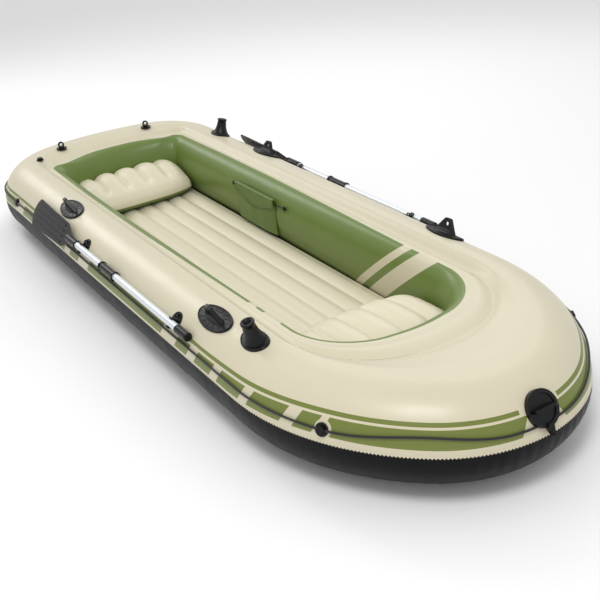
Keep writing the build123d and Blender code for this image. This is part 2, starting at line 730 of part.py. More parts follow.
# ---------------------------------------------------------------- oar clips
loop_reach = SHOULDER_RADIUS + LOOP_RISE
loop_out = math.cos(math.radians(OAR_ANGLE + LOOP_TURN))
loop_up = math.sin(math.radians(OAR_ANGLE + LOOP_TURN))
for side_name, side in SIDES.items():
    shift = PORT_OAR_SHIFT if side > 0 else 0.0
    for end_name, clip_x in zip(("aft", "fore"), CLIP_X):
        x = clip_x + shift
        tilt = 90 - OAR_ANGLE - LOOP_TURN / 2
        base = curved_base(x, side, tilt, CLIP_BASE, CLIP_BASE_THICKNESS)
        section = oar_plane(x - CLIP_WIDTH / 2, side)
        throat = SHAFT_RADIUS + CLIP_MOUTH_FIT
        outside = throat + CLIP_ARM
        with BuildPart() as oar_clip:
            add(base)
            with BuildSketch(section):
                Circle(outside)
                with Locations((0, CLIP_ARM_RISE / 2)):
                    Rectangle(2 * outside, CLIP_ARM_RISE)
                with Locations((0, -outside)):
                    Rectangle(outside, 2 * CLIP_BASE_THICKNESS)
                Circle(throat, mode=Mode.SUBTRACT)
                with Locations((0, outside)):
                    Rectangle(2 * throat, 2 * outside, mode=Mode.SUBTRACT)
                with Locations((0, CLIP_ARM_RISE + outside)):
                    Rectangle(CLIP_BASE[1], 2 * outside, mode=Mode.SUBTRACT)
            extrude(amount=CLIP_WIDTH)
            with BuildSketch(shoulder_axis_plane(x, side)):
                with Locations((side * loop_reach * loop_out, loop_reach * loop_up)):
                    Circle(LOOP_RADIUS)
                    Circle(LOOP_HOLE_RADIUS, mode=Mode.SUBTRACT)
            extrude(amount=LOOP_THICKNESS / 2, both=True)
            with BuildSketch(shoulder_axis_plane(x, side)):
                Circle(SHOULDER_RADIUS + GAP)
            extrude(amount=CLIP_WIDTH, both=True, mode=Mode.SUBTRACT)
        save(oar_clip.part, f"{side_name}_{end_name}_oar_clip")

# ---------------------------------------------------------------- storage pouch
wall_y = COCKPIT_WIDTH / 2 - GAP
pouch_width = POUCH_X[1] - POUCH_X[0]
pouch_middle = sum(POUCH_X) / 2
pouch_height = POUCH_Z[1] - POUCH_Z[0]
bag_middle = wall_y - POUCH_DEPTH / 2

with BuildPart() as storage_pouch:
    with BuildSketch(Plane.XY.offset(POUCH_Z[0])):
        with Locations((pouch_middle, bag_middle)):
            Rectangle(pouch_width, POUCH_DEPTH)
    extrude(amount=pouch_height)
    with BuildSketch(Plane.XY.offset(POUCH_Z[0] + POUCH_WALL)):
        with Locations((pouch_middle, bag_middle)):
            Rectangle(pouch_width - 2 * POUCH_WALL, POUCH_DEPTH - 2 * POUCH_WALL)
    extrude(amount=pouch_height, mode=Mode.SUBTRACT)
save(storage_pouch.part, "storage_pouch")

flap_top = POUCH_Z[1] + FLAP_LIFT + FLAP_THICKNESS
flap_front = wall_y - POUCH_DEPTH - FLAP_THICKNESS - GAP

with BuildPart() as pouch_flap:
    front = Plane(origin=(pouch_middle, flap_front, flap_top), x_dir=(1, 0, 0), z_dir=(0, -1, 0))
    with BuildSketch(front):
        with BuildLine():
            Polyline(
                (-pouch_width / 2, 0),
                (-pouch_width / 2, -FLAP_SIDE_DROP),
                (-FLAP_TIP_HALF_WIDTH, -FLAP_TIP_DROP),
                (FLAP_TIP_HALF_WIDTH, -FLAP_TIP_DROP),
                (pouch_width / 2, -FLAP_SIDE_DROP),
                (pouch_width / 2, 0),
                close=True,
            )
        make_face()
    extrude(amount=-FLAP_THICKNESS)
    with BuildSketch(Plane.XY.offset(flap_top)):
        with Locations((pouch_middle, (wall_y + flap_front) / 2)):
            Rectangle(pouch_width, wall_y - flap_front)
    extrude(amount=-FLAP_THICKNESS)
save(pouch_flap.part, "pouch_flap")

for end_name, x, corner in zip(("aft", "fore"), TIE_X, POUCH_X):
    wall = Plane(origin=(x, wall_y, TIE_Z), x_dir=(1, 0, 0), z_dir=(0, -1, 0))
    away = 1 if corner > x else -1
    cord_start = Plane(
        origin=(x, wall_y - TIE_CORD_DEPTH, TIE_Z),
        x_dir=(0, 1, 0),
        z_dir=(away, 0, 0),
    )
    with BuildPart() as pouch_tie:
        with BuildSketch(wall):
            Circle(TIE_BASE_RADIUS)
        extrude(amount=TIE_BASE_THICKNESS)
        with BuildSketch(wall):
            Circle(TIE_KNOB_RADIUS)
        extrude(amount=TIE_KNOB_HEIGHT)
        with BuildSketch(cord_start):
            Circle(TIE_CORD_RADIUS)
        extrude(amount=abs(corner - x) - GAP)
    save(pouch_tie.part, f"pouch_tie_{end_name}")
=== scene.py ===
"""Looks of the inflatable rowing boat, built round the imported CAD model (metres)."""

import math
from collections import namedtuple

import bpy
import numpy as np
from mathutils import Matrix, Vector


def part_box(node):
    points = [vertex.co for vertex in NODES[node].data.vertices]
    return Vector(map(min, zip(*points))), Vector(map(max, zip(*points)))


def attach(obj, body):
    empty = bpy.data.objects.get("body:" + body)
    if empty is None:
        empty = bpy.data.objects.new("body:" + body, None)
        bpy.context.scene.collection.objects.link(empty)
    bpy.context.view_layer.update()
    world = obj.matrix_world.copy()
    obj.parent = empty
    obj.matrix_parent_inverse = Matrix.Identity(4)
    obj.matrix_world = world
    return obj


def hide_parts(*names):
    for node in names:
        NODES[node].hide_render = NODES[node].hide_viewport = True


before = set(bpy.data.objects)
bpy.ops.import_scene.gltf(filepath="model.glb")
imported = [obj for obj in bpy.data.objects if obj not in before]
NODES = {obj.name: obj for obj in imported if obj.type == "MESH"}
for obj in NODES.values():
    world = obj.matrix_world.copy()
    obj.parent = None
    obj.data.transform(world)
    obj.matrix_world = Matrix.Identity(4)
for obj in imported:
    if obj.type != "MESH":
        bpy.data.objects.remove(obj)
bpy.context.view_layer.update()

# ---------------------------------------------------------------- camera
VIEW_AZIMUTH = 58.908
VIEW_ELEVATION = 27.801
VIEW_ROLL = -5.021
VIEW_DISTANCE = 3.692
VIEW_TARGET = Vector((0.487, -0.043, 0.155))
LENS = 56.61


def make_camera():
    """Camera aimed at the target from its azimuth and elevation, slightly rolled."""
    azimuth, elevation = math.radians(VIEW_AZIMUTH), math.radians(VIEW_ELEVATION)
    flat = math.cos(elevation)
    back = Vector(
        (math.sin(azimuth) * flat, -math.cos(azimuth) * flat, math.sin(elevation))
    )
    level = (-back).cross(Vector((0, 0, 1))).normalized()
    upright = level.cross(-back)
    roll = math.radians(VIEW_ROLL)
    right = level * math.cos(roll) + upright * math.sin(roll)
    up = upright * math.cos(roll) - level * math.sin(roll)
    camera = bpy.data.objects.new("camera", bpy.data.cameras.new("camera"))
    bpy.context.scene.collection.objects.link(camera)
    camera.data.lens = LENS
    turn = Matrix((right, up, back)).transposed().to_4x4()
    camera.matrix_world = Matrix.Translation(VIEW_TARGET + VIEW_DISTANCE * back) @ turn
    bpy.context.scene.camera = camera


make_camera()

# ---------------------------------------------------------------- sizes of the hull
# half width, then for the bow and the stern: tip, side radius, middle radius
# the same as in the CAD, but for tighter stern corners of the crease and the wall
HULL = (0.620, (1.740, 0.860, 0.500), (1.740, 0.420, 1.400))
CREASE = (0.385, (1.310, 0.330, 0.500), (1.400, 0.060, 1.165))
WALL = (0.300, (1.102, 0.230, 0.650), (1.325, 0.020, 0.700))
SHOULDER = 0.173
SHOULDER_Z = 0.177
DECK_Z = 0.350
SEAM_Z = 0.200
SEAM_ANGLE = math.asin((SEAM_Z - SHOULDER_Z) / SHOULDER)
FLOOR_Z = 0.085
COCKPIT = 0.600

# ---------------------------------------------------------------- stations round the hull
END_STEPS = 72  # per quarter turn of each end
SIDE_STEPS = 60


def stations():
    """(end or side, angle or share, hand) from the bow tip over port to the stern and back."""
    quarter = np.linspace(0.0, 90.0, END_STEPS + 1)
    straight = np.linspace(0.0, 1.0, SIDE_STEPS + 1)[1:-1]
    found = [("bow", a, 1) for a in quarter]
    found += [("side", t, 1) for t in straight]
    found += [("stern", a, 1) for a in quarter[::-1]]
    found += [("stern", a, -1) for a in quarter[1:]]
    found += [("side", t, -1) for t in straight[::-1]]
    found += [("bow", a, -1) for a in quarter[:0:-1]]
    return found


def end_shape(half, end):
    """Centres of an end's middle and side arcs, and the angle in degrees where they meet."""
    tip, side_radius, end_radius = end
    offset = half - side_radius
    reach = math.sqrt((end_radius - side_radius) ** 2 - offset**2)
    blunt = math.copysign(1.0, end_radius - side_radius)
    end_x = tip - end_radius
    side_x = end_x + blunt * reach
    meeting = math.degrees(math.atan2(blunt * offset, blunt * (side_x - end_x)))
    return end_x, side_x, offset, meeting


def outline(shape):
    """Points and outward normals of an outline, at the shared stations."""
    half, bow, stern = shape
    ends = {
        "bow": (1, bow, end_shape(half, bow)),
        "stern": (-1, stern, end_shape(half, stern)),
    }
    points, normals = [], []
    for kind, value, side in stations():
        if kind == "side":
            fore, aft = ends["bow"][2][1], -ends["stern"][2][1]
            points.append((fore + (aft - fore) * value, side * half))
            normals.append((0.0, side))
            continue
        ahead, (_, side_radius, end_radius), (end_x, side_x, offset, meeting) = ends[kind]
        turn = math.radians(value)
        in_middle = value <= meeting
        centre = (end_x, 0.0) if in_middle else (side_x, offset)
        radius = end_radius if in_middle else side_radius
        x = centre[0] + radius * math.cos(turn)
        y = centre[1] + radius * math.sin(turn)
        points.append((ahead * x, side * y))
        normals.append((ahead * math.cos(turn), side * math.sin(turn)))
    return np.array(points), np.array(normals)


def along(points):
    """Distance from the bow tip along the outline, the same on both sides."""
    steps = np.linalg.norm(np.roll(points, -1, 0) - points, axis=1)
    run = np.concatenate([[0.0], np.cumsum(steps)[:-1]])
    return np.minimum(run, steps.sum() - run)


HULL_LINE, HULL_OUT = outline(HULL)
CREASE_LINE, _ = outline(CREASE)
WALL_LINE, _ = outline(WALL)
RUN = along(HULL_LINE)


# ---------------------------------------------------------------- mesh helpers
def mesh_object(name, verts, faces, fields=None, smooth=True):
    """Mesh object with named float fields on its points."""
    mesh = bpy.data.meshes.new(name)
    mesh.from_pydata([tuple(v) for v in np.asarray(verts, float)], [], faces)
    for key, values in (fields or {}).items():
        layer = mesh.attributes.new(key, "FLOAT", "POINT")
        layer.data.foreach_set("value", np.asarray(values, np.float32).ravel())
    if smooth:
        mesh.polygons.foreach_set("use_smooth", [True] * len(mesh.polygons))
    mesh.update()
    obj = bpy.data.objects.new(name, mesh)
    bpy.context.scene.collection.objects.link(obj)
    return obj


def grid_faces(count_u, count_v, wrap_u, wrap_v=False, first=0):
    """Quads of a grid whose point (u, v) has index first + u * count_v + v."""
    faces = []
    for u in range(count_u if wrap_u else count_u - 1):
        after = (u + 1) % count_u
        for v in range(count_v if wrap_v else count_v - 1):
            above = (v + 1) % count_v
            faces.append(
                (
                    first + u * count_v + v,
                    first + after * count_v + v,
                    first + after * count_v + above,
                    first + u * count_v + above,
                )
            )
    return faces


def border_loop(count_u, count_v):
    """Indexes once round a grid's border, along u first."""
    last_u, last_v = count_u - 1, count_v - 1
    loop = [u * count_v for u in range(count_u)]
    loop += [last_u * count_v + v for v in range(1, count_v)]
    loop += [u * count_v + last_v for u in range(last_u - 1, -1, -1)]
    loop += range(last_v - 1, 0, -1)
    return loop


def shell_faces(count_u, count_v, border):
    """Faces of two grids back to back, joined by a strip along the border."""
    first = count_u * count_v
    faces = grid_faces(count_u, count_v, False)
    faces += [face[::-1] for face in grid_faces(count_u, count_v, False, first=first)]
    faces += [(b, a, first + a, first + b) for a, b in zip(border, border[1:])]
    return faces


def finish_piece(obj, material, body, slot, *nodes):
    """Material, body and replaced nodes of a finished piece; the slot is not used."""
    obj.data.materials.clear()
    obj.data.materials.append(material)
    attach(obj, body)
    if nodes:
        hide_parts(*nodes)


def smooth_step(low, high, value):
    """0 up to low, 1 from high, and smooth between them."""
    t = np.clip((value - low) / (high - low), 0.0, 1.0)
    return t * t * (3 - 2 * t)


# ---------------------------------------------------------------- material helpers
FACTOR, FIRST_COLOR, SECOND_COLOR = 0, 6, 7  # inputs of a colour mix
MIXED = 2  # its output
FROM_LOW, FROM_HIGH, TO_LOW, TO_HIGH = 1, 2, 3, 4  # inputs of a map range
BROAD_DETAIL = 4.0  # noise detail of shades and gloss
COAT_ROUGHNESS = 0.25
DEFAULT_SPECULAR = 0.5


class Paint:
    """A node material and short ways to add to it."""

    def __init__(
        self, name, roughness, coat=0.0, metallic=0.0, sheen=0.0, specular=DEFAULT_SPECULAR
    ):
        self.material = bpy.data.materials.new(name)
        self.material.use_nodes = True
        self.tree = self.material.node_tree
        self.shader = self.tree.nodes["Principled BSDF"]
        settings = {
            "Roughness": roughness,
            "Coat Weight": coat,
            "Coat Roughness": COAT_ROUGHNESS,
            "Metallic": metallic,
            "Sheen Weight": sheen,
            "Specular IOR Level": specular,
        }
        for key, value in settings.items():
            self.shader.inputs[key].default_value = value
        self.place = self.node("ShaderNodeTexCoord").outputs["Object"]

    def node(self, kind, **settings):
        made = self.tree.nodes.new(kind)
        for key, value in settings.items():
            setattr(made, key, value)
        return made

    def link(self, value, socket):
        """Join a node's output to the socket, or set the socket to a value."""
        if isinstance(value, bpy.types.NodeSocket):
            self.tree.links.new(value, socket)
        else:
            socket.default_value = value

    def math(self, operation, first, second=0.0):
        made = self.node("ShaderNodeMath", operation=operation)
        self.link(first, made.inputs[0])
        self.link(second, made.inputs[1])
        return made.outputs[0]

    def field(self, name):
        return self.node("ShaderNodeAttribute", attribute_name=name).outputs["Fac"]

    def axis(self, index):
        made = self.node("ShaderNodeSeparateXYZ")
        self.link(self.place, made.inputs[0])
        return made.outputs[index]

    def between(self, value, low, high):
        """1 where low < value < high."""
        over = self.math("GREATER_THAN", value, low)
        under = self.math("LESS_THAN", value, high)
        return self.math("MULTIPLY", over, under)

    def mix(self, factor, first, second):
        made = self.node("ShaderNodeMix", data_type="RGBA")
        self.link(factor, made.inputs[FACTOR])
        self.link(first, made.inputs[FIRST_COLOR])
        self.link(second, made.inputs[SECOND_COLOR])
        return made.outputs[MIXED]

    def noise(self, scale, detail, stretch=(1.0, 1.0, 1.0)):
        placed = self.node("ShaderNodeMapping")
        self.link(self.place, placed.inputs[0])
        placed.inputs["Scale"].default_value = stretch
        made = self.node("ShaderNodeTexNoise")
        self.link(placed.outputs[0], made.inputs["Vector"])
        made.inputs["Scale"].default_value = scale
        made.inputs["Detail"].default_value = detail
        return made.outputs["Fac"]

    def cells(self, scale):
        made = self.node("ShaderNodeTexVoronoi", feature="DISTANCE_TO_EDGE")
        self.link(self.place, made.inputs["Vector"])
        made.inputs["Scale"].default_value = scale
        return made.outputs["Distance"]

    def spread(self, value, low, high, span=(0.0, 1.0), curve="LINEAR"):
        """value over its span, mapped to low..high."""
        made = self.node("ShaderNodeMapRange", interpolation_type=curve)
        self.link(value, made.inputs[0])
        made.inputs[FROM_LOW].default_value = span[0]
        made.inputs[FROM_HIGH].default_value = span[1]
        made.inputs[TO_LOW].default_value = low
        made.inputs[TO_HIGH].default_value = high
        return made.outputs[0]

    def shade(self, color, amount, scale=2.5):
        """color, lighter and darker by amount over the surface."""
        made = self.node("ShaderNodeMix", data_type="RGBA", blend_type="MULTIPLY")
        made.inputs[FACTOR].default_value = 1.0
        self.link(color, made.inputs[FIRST_COLOR])
        grey = self.node("ShaderNodeCombineColor")
        level = self.spread(self.noise(scale, BROAD_DETAIL), 1.0 - amount, 1.0 + amount)
        for socket in grey.inputs[:3]:
            self.link(level, socket)
        self.link(grey.outputs[0], made.inputs[SECOND_COLOR])
        return made.outputs[MIXED]

    def color(self, value):
        self.link(value, self.shader.inputs["Base Color"])

    def rough(self, low, high, scale):
        level = self.spread(self.noise(scale, BROAD_DETAIL), low, high)
        self.link(level, self.shader.inputs["Roughness"])

    def bumps(self, *layers):
        """Bump from (height, depth in metres, strength) layers, one over another."""
        normal = None
        for height, depth, strength in layers:
            made = self.node("ShaderNodeBump")
            made.inputs["Strength"].default_value = strength
            made.inputs["Distance"].default_value = depth
            self.link(height, made.inputs["Height"])
            if normal is not None:
                self.link(normal, made.inputs["Normal"])
            normal = made.outputs[0]
        self.link(normal, self.shader.inputs["Normal"])


def srgb(red, green, blue):
    """Linear colour of an sRGB triple."""
    linear = [
        c / 12.92 if c <= 0.04045 else ((c + 0.055) / 1.055) ** 2.4
        for c in (red, green, blue)
    ]
    return (*linear, 1.0)


BEIGE = srgb(0.805, 0.775, 0.675)
CREAM = srgb(0.85, 0.82, 0.72)
GREEN = srgb(0.43, 0.47, 0.20)
WALL_GREEN = srgb(0.405, 0.485, 0.225)
INK = srgb(0.03, 0.036, 0.045)
BLACK = srgb(0.045, 0.045, 0.052)
WELD_SHADOW = srgb(0.76, 0.72, 0.62)
PIPING_GREEN = srgb(0.46, 0.50, 0.30)
POUCH_GREEN = srgb(0.36, 0.45, 0.19)
WELT_GREEN = srgb(0.30, 0.37, 0.17)
CORD_BLACK = srgb(0.05, 0.05, 0.055)
ALUMINIUM = srgb(0.86, 0.88, 0.90)

GRAIN = 900.0  # cells of the embossed vinyl grain per metre


def vinyl_detail(paint, pucker=0.25):
    """Embossed grain, soft welding puckers and uneven gloss of soft vinyl."""
    paint.rough(0.28, 0.40, 14.0)
    paint.bumps(
        (paint.noise(11.0, 2.0), 0.004, pucker),
        (paint.cells(GRAIN), 0.0002, 0.15),
    )


def plain_vinyl(name, color, pucker):
    """Soft vinyl of one colour."""
    paint = Paint(name, 0.4)
    paint.color(paint.shade(color, 0.035))
    vinyl_detail(paint, pucker)
    return paint.material


# ---------------------------------------------------------------- printed pattern of the hull
# edges in degrees above level, seen from the shoulder's centre: along the sides, at the bow
BAND_LOW = (7.0, 14.0)
BAND_HIGH = (24.5, 33.7)
LINE_LOW = (27.5, 36.3)
LINE_HIGH = (31.8, 41.0)
CLIMB_RUN = (0.65, 1.35)  # metres from the bow tip where the print has climbed
BAND_SLANT = 0.0016  # metres of run per degree
SLANT_CENTRE = 20.0
GROMMETS = ((1.344, 0.519, 0.237), (-1.181, 0.613, 0.237))
GROMMET_HALO = 0.029  # no print this near to a grommet
# stretches, in metres from the bow tip, where the wide band and the thin line are printed
BAND_RUNS = (
    (0.080, 0.700),
    (0.726, 0.797),
    (0.847, 1.000),
    (1.046, 1.186),
    (1.235, 1.345),
    (1.402, 1.492),
    (1.605, 2.312),
    (2.420, 2.520),
    (2.580, 2.690),
    (2.750, 2.880),
    (2.980, 3.140),
    (3.250, 4.300),
)
LINE_RUNS = ((0.082, 1.464), (1.603, 2.312), (2.956, 4.300))


def stretches(paint, run, runs):
    """1 where run is inside one of the runs."""
    total = 0.0
    for low, high in runs:
        total = paint.math("ADD", total, paint.between(run, low, high))
    return total


def outside_halo(paint, centre):
    """1 further than the halo from a grommet, port or starboard."""
    x, y, z = centre
    offsets = (
        paint.math("SUBTRACT", paint.axis(0), x),
        paint.math("SUBTRACT", paint.math("ABSOLUTE", paint.axis(1)), y),
        paint.math("SUBTRACT", paint.axis(2), z),
    )
    total = 0.0
    for offset in offsets:
        total = paint.math("ADD", total, paint.math("MULTIPLY", offset, offset))
    return paint.math("GREATER_THAN", total, GROMMET_HALO**2)


def climbed(paint, climb, edge):
    """Level of an edge that changes from its side value to its bow value."""
    side, bow = edge
    return paint.math("ADD", side, paint.math("MULTIPLY", climb, bow - side))


def printed_hull():
    """Beige vinyl with the printed band, broken into runs, and the thin line above it."""
    paint = Paint("printed_vinyl", 0.4)
    run, girth = paint.field("run"), paint.field("girth")
    climb = paint.spread(run, 1.0, 0.0, CLIMB_RUN, "SMOOTHSTEP")
    slanted = paint.math("ADD", run, paint.math("MULTIPLY", girth, BAND_SLANT))
    shifted = paint.math("SUBTRACT", slanted, BAND_SLANT * SLANT_CENTRE)
    band = paint.math(
        "MULTIPLY",
        paint.between(girth, climbed(paint, climb, BAND_LOW), climbed(paint, climb, BAND_HIGH)),
        stretches(paint, shifted, BAND_RUNS),
    )
    line = paint.math(
        "MULTIPLY",
        paint.between(girth, climbed(paint, climb, LINE_LOW), climbed(paint, climb, LINE_HIGH)),
        stretches(paint, run, LINE_RUNS),
    )
    mark = paint.math("MAXIMUM", band, line)
    for centre in GROMMETS:
        mark = paint.math("MULTIPLY", mark, outside_halo(paint, centre))
    paint.color(paint.shade(paint.mix(mark, BEIGE, GREEN), 0.03))
    vinyl_detail(paint)
    return paint.material


# ---------------------------------------------------------------- outer chamber
DECK_STEPS = 18
SHOULDER_STEPS = 40
DECK_FALL = 0.020
DECK_FALL_FROM = 0.25  # share of the deck's width
RIPPLE_FULL_FROM = 0.3
CREASE_FALL = 0.013
CREASE_WIDTH = 0.050
RIPPLE = 0.0004
RIPPLE_PITCH = 0.031


def chamber_rows():
    """Points, run and girth of the top sheet, from the seam up to the crease."""
    verts, girths, runs = [], [], []
    angles = np.linspace(SEAM_ANGLE, math.pi / 2, SHOULDER_STEPS + 1)
    inset = SHOULDER * (1 - np.cos(angles))
    height = SHOULDER_Z + SHOULDER * np.sin(angles)
    shares = np.linspace(0.0, 1.0, DECK_STEPS + 1)[1:]
    for point, out, crease, run in zip(HULL_LINE, HULL_OUT, CREASE_LINE, RUN):
        edge = point - out * SHOULDER
        width = np.linalg.norm(crease - edge)
        across = shares * width
        ripple = RIPPLE * np.sin(across / RIPPLE_PITCH * 2 * math.pi)
        deck = DECK_Z - DECK_FALL * smooth_step(DECK_FALL_FROM, 1.0, shares)
        deck += ripple * smooth_step(0.0, RIPPLE_FULL_FROM, shares)
        deck -= CREASE_FALL * smooth_step(width - CREASE_WIDTH, width, across)
        for d, z in zip(inset, height):
            verts.append((*(point - out * d), z))
        for share, z in zip(shares, deck):
            verts.append((*(edge + (crease - edge) * share), z))
        girths.extend(np.degrees(angles))
        girths.extend(90.0 + 90.0 * shares)
        runs.extend([run] * (len(angles) + len(shares)))
    return verts, girths, runs, len(angles) + len(shares)


def make_outer_chamber():
    verts, girths, runs, count = chamber_rows()
    faces = grid_faces(len(HULL_LINE), count, True)
    obj = mesh_object("outer_chamber_skin", verts, faces, {"run": runs, "girth": girths})
    finish_piece(obj, printed_hull(), "hull", "beige_vinyl", "outer_chamber")


# ---------------------------------------------------------------- underside
SHEET_Z = 0.010
UNDER_STEPS = 30
PUCKER = 0.0012
PUCKER_PITCH = 0.045
BOW_RISE = 0.020
BOW_RISE_RUN = (0.25, 1.3)
PUCKER_FADE = 0.25  # radians below the seam where the puckers are full
PUCKER_RANGE = (1.1, 0.2)
EDGE_LIFT = 0.003
EDGE_INSET = 0.03


def underside_points(angles):
    """Points in rows from the seam down to the sheet under the cockpit."""
    verts = []
    for point, out, crease, run in zip(HULL_LINE, HULL_OUT, CREASE_LINE, RUN):
        wave = PUCKER * math.sin(run / PUCKER_PITCH * 2 * math.pi)
        rise = BOW_RISE * float(1.0 - smooth_step(*BOW_RISE_RUN, run))
        for angle in angles:
            fade = float(smooth_step(SEAM_ANGLE, SEAM_ANGLE - PUCKER_FADE, angle))
            low, high = (SEAM_ANGLE - drop for drop in PUCKER_RANGE)
            radius = SHOULDER + wave * fade * float(smooth_step(low, high, angle))
            inset = SHOULDER - radius * math.cos(angle)
            fall = radius * math.sin(angle)
            fall *= (SHOULDER_Z - rise) / SHOULDER if fall < 0.0 else 1.0
            verts.append((*(point - out * inset), SHOULDER_Z + fall))
        verts.append((*(point - out * (SHOULDER + EDGE_INSET)), rise + EDGE_LIFT))
        verts.append((*crease, SHEET_Z))
    return verts


def make_underside():
    """Lower half of the outer chamber, closed by the bottom sheet."""
    angles = np.linspace(SEAM_ANGLE, -math.pi / 2, UNDER_STEPS + 1)
    verts = underside_points(angles)
    count = len(angles) + 2
    faces = [face[::-1] for face in grid_faces(len(HULL_LINE), count, True)]
    faces.append([u * count + count - 1 for u in range(len(HULL_LINE))][::-1])
    obj = mesh_object("underside_skin", verts, faces)
    paint = Paint("underside_vinyl", 0.4, specular=0.14)
    paint.color(paint.shade(INK, 0.15, 6.0))
    paint.rough(0.36, 0.52, 18.0)
    paint.bumps(
        (paint.noise(16.0, 3.0, (1.0, 1.0, 0.35)), 0.006, 0.35),
        (paint.cells(GRAIN), 0.0003, 0.2),
    )
    finish_piece(obj, paint.material, "hull", "black_vinyl", "underside")


# ---------------------------------------------------------------- pinked edge of the top sheet
TOOTH_PITCH = 0.0115
TOOTH_DEPTH = 0.0055
LAP = 0.003
PROUD = 0.0008
BEDDED = 0.0002  # how little the sheet's own face clears the skin under it


def dense_line(shape, spacing):
    """The outline's points and normals at even spacing."""
    points, normals = outline(shape)
    closed = np.vstack([points, points[:1]])
    turns = np.vstack([normals, normals[:1]])
    steps = np.linalg.norm(np.diff(closed, axis=0), axis=1)
    reached = np.concatenate([[0.0], np.cumsum(steps)])
    count = 2 * int(round(reached[-1] / spacing / 2))
    wanted = np.arange(count) * reached[-1] / count
    line = np.stack([np.interp(wanted, reached, closed[:, k]) for k in (0, 1)], 1)
    out = np.stack([np.interp(wanted, reached, turns[:, k]) for k in (0, 1)], 1)
    out /= np.linalg.norm(out, axis=1)[:, None]
    return line, out


def make_pinked_edge():
    """Saw-toothed edge of the top sheet, lapped over the underside."""
    line, out = dense_line(HULL, TOOTH_PITCH / 2)
    verts = []
    for index, (point, normal) in enumerate(zip(line, out)):
        tooth = TOOTH_DEPTH if index % 2 else 0.0
        lowest = -LAP - tooth
        section = ((LAP, BEDDED), (0.0, PROUD), (lowest, PROUD), (lowest, -BEDDED))
        for rise, proud in section:
            angle = SEAM_ANGLE + rise / SHOULDER
            radius = SHOULDER + proud
            inset = SHOULDER - radius * math.cos(angle)
            verts.append((*(point - normal * inset), SHOULDER_Z + radius * math.sin(angle)))
    faces = [face[::-1] for face in grid_faces(len(line), len(section), True)]
    obj = mesh_object("pinked_edge", verts, faces, smooth=False)
    finish_piece(obj, plain_vinyl("edge_vinyl", BEIGE, 0.1), "hull", "beige_vinyl")


# ---------------------------------------------------------------- inner chamber
RING_TOP = 0.320
RING_CROWN = 0.008
RING_GROOVE = 0.003
GROOVE_WIDTH = 0.020
CROWN_WIDTH = (0.02, 0.12)  # flat widths over which the crown grows
LEAST_FLAT = 0.004
WALL_Z = 0.190  # where the wall bulges most
RIM_REACH = 0.082
FOOT_REACH = 0.060
FOOT_Z = 0.040
RIM_ANGLE = 2.5  # degrees round the rim where the green starts
WALL_BANDS = ((0.635, 0.684), (0.732, 0.840))
BAND_LEAN = 1.15
BAND_LEAN_Z = 0.31
RING_STEPS = 14
WALL_STEPS = 24


def ring_section(width):
    """(distance in from the crease, height, girth) down a section of the inner ring."""
    flat = max(width - RIM_REACH, LEAST_FLAT)
    reach = width - flat
    shares = np.linspace(0.0, 1.0, RING_STEPS)[:-1]
    section = []
    crown = RING_CROWN * smooth_step(*CROWN_WIDTH, flat)
    for share in shares:
        s = share * flat
        groove = RING_GROOVE * (1.0 - smooth_step(0.0, GROOVE_WIDTH, s))
        z = RING_TOP - groove + crown * math.sin(math.pi * share) ** 2
        section.append((s, z, share - 1))
    for angle in np.linspace(0.0, 90.0, WALL_STEPS):
        turn = math.radians(angle)
        s = flat + reach * math.sin(turn)
        section.append((s, WALL_Z + (RING_TOP - WALL_Z) * math.cos(turn), angle))
    for angle in np.linspace(90.0, 180.0, WALL_STEPS)[1:]:
        turn = math.radians(angle - 90.0)
        s = width - FOOT_REACH * (1 - math.cos(turn))
        section.append((s, WALL_Z - (WALL_Z - FOOT_Z) * math.sin(turn), angle))
    return section


def banded_vinyl():
    """Green wall with leaning beige bands, beige above its rim."""
    paint = Paint("banded_vinyl", 0.38)
    lean = paint.math("SUBTRACT", BAND_LEAN_Z, paint.axis(2))
    place = paint.math("ADD", paint.axis(0), paint.math("MULTIPLY", lean, BAND_LEAN))
    bands = stretches(paint, place, WALL_BANDS)
    over_rim = paint.math("LESS_THAN", paint.field("girth"), RIM_ANGLE)
    beige = paint.math("MAXIMUM", bands, over_rim)
    paint.color(paint.shade(paint.mix(beige, WALL_GREEN, BEIGE), 0.04))
    vinyl_detail(paint, 0.3)
    return paint.material


def make_inner_chamber():
    """Ring round the cockpit, from the crease over its rim and down its wall."""
    verts, girths = [], []
    for crease, wall in zip(CREASE_LINE, WALL_LINE):
        width = np.linalg.norm(wall - crease)
        inward = (wall - crease) / width
        section = ring_section(width)
        for s, z, girth in section:
            verts.append((*(crease + inward * s), z))
            girths.append(girth)
    faces = grid_faces(len(CREASE_LINE), len(section), True)
    obj = mesh_object("inner_chamber_skin", verts, faces, {"girth": girths})
    finish_piece(obj, banded_vinyl(), "hull", "green_vinyl", "inner_chamber")


# ---------------------------------------------------------------- air floor
CHANNELS = 7
CHANNEL_PITCH = COCKPIT / CHANNELS
CHANNEL_DEPTH = 0.016
CHANNEL_POWER = 2.2  # how square a channel's crown is
FLOOR_ROWS = 170
FLOOR_COLUMNS = 141
WELD_FROM = 0.490  # share of a channel from its middle
FLOOR_SEED = 4
FLOOR_MARGIN = 0.002
SWELL = 0.0005
SWELL_WAVES = 9
SHALLOW = 0.45  # share of the depth that a channel has under the stern seat
SHALLOW_RUN = (-1.25, -1.05)
STERN_DROP_RUN = (-1.32, -1.27)
BOW_DROP_RUN = (1.05, 1.098)
SIDE_DROP_FROM = 0.955
EDGE_DROP = 0.03
TUCK = 0.024  # the floor's edge lies under the wall's overhang
FLOOR_LINE = tuple(
    [WALL[0] + TUCK] + [tuple(size + TUCK for size in end) for end in WALL[1:]]
)


